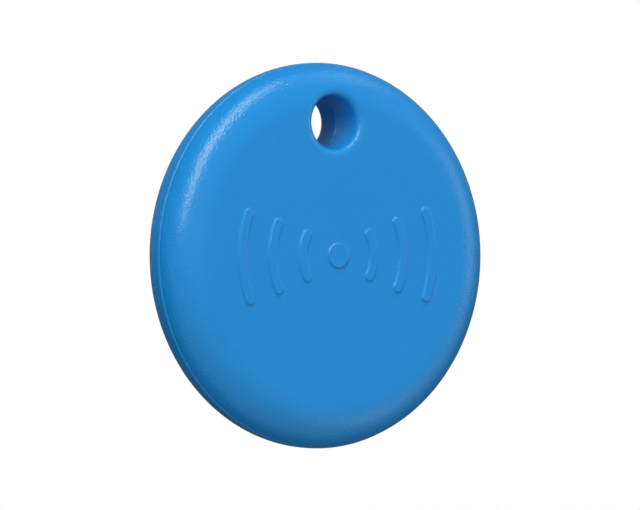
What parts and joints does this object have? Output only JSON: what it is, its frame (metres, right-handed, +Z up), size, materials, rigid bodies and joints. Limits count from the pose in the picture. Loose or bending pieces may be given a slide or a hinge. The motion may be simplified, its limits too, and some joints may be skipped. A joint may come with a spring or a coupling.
{
  "type": "bluetooth tracker tag",
  "caption": "Round key tag: two snap-together covers with a key-ring hole, around a board, coin cell, sounder and a switch that the front cover clicks when pressed.",
  "frame": {"origin": "centre of the key-ring hole at half of the tag's thickness", "axes": "-Y out of the front face, +Z up from the disc's centre through the key-ring hole, +X to the right as the front face is looked at"},
  "size_m": [0.0388, 0.0076, 0.0388],
  "materials": {
    "cover_blue": "matte, fine grain",
    "seal_rubber": "matte",
    "board_green": "satin solder mask",
    "cradle_black": "satin",
    "cell_steel": "bright nickel-plated",
    "contact_gold": "gold-plated spring strip",
    "sounder_brass": "bright",
    "sounder_ceramic": "matte",
    "antenna_ceramic": "matte",
    "adhesive_black": "matte",
    "chip_black": "satin moulding compound",
    "ferrite_grey": "matte",
    "capacitor_tan": "satin",
    "capacitor_amber": "satin",
    "separator_white": "matte",
    "cathode_black": "pressed powder",
    "anode_lithium": "satin"
  },
  "bodies": {
    "back_half": {"back_cover": "cover_blue", "circuit_board": "board_green", "radio_chip": "chip_black", "crystal": "cell_steel", "chip_antenna": "antenna_ceramic", "boost_inductor": "ferrite_grey", "sounder_driver": "chip_black", "reservoir_capacitor": "capacitor_amber", "chip_capacitor_1": "capacitor_tan", "chip_capacitor_2": "capacitor_tan", "chip_capacitor_3": "capacitor_tan", "chip_capacitor_4": "capacitor_tan", "chip_capacitor_5": "capacitor_tan", "chip_resistor_1": "chip_black", "chip_resistor_2": "chip_black", "chip_resistor_3": "chip_black", "cell_contact_minus": "contact_gold", "cell_contact_plus": "contact_gold", "cell_cradle": "cradle_black", "sounder_bond_ring": "adhesive_black", "sounder_plate": "sounder_brass", "sounder_ceramic": "sounder_ceramic", "sounder_contact_middle": "contact_gold", "sounder_contact_edge": "contact_gold", "switch_base": "chip_black", "switch_dome": "cell_steel", "switch_frame": "cell_steel"},
    "cover_seals": {"rim_seal": "seal_rubber", "hole_seal": "seal_rubber"},
    "front_half": {"front_cover": "cover_blue"},
    "coin_cell": {"cell_can": "cell_steel", "cell_grommet": "adhesive_black", "cell_cap": "cell_steel", "cell_anode": "anode_lithium", "cell_separator": "separator_white", "cell_cathode": "cathode_black"},
    "switch_plunger": {"switch_button": "cradle_black"}
  },
  "joints": [
    {"name": "cover_lift_off", "type": "slide", "parent": "back_half", "child": "cover_seals", "axis": [0, -1, 0], "range_m": [0, 0.018]},
    {"name": "face_press", "type": "slide", "parent": "cover_seals", "child": "front_half", "axis": [0, 1, 0], "range_m": [0, 0.00012], "stiffness_N_per_m": 12000, "deforming": ["rim_seal", "hole_seal"]},
    {"name": "cell_lift_out", "type": "slide", "parent": "back_half", "child": "coin_cell", "axis": [0, -1, 0], "range_m": [0, 0.009]},
    {"name": "switch_press", "type": "slide", "parent": "back_half", "child": "switch_plunger", "axis": [0, 1, 0], "range_m": [0, 0.00012], "deforming": ["switch_dome"]}
  ],
  "couplings": [
    {"joint": "cell_lift_out", "follows": "cover_lift_off", "ratio": 0.5},
    {"joint": "switch_press", "follows": "face_press", "ratio": 1}
  ]
}
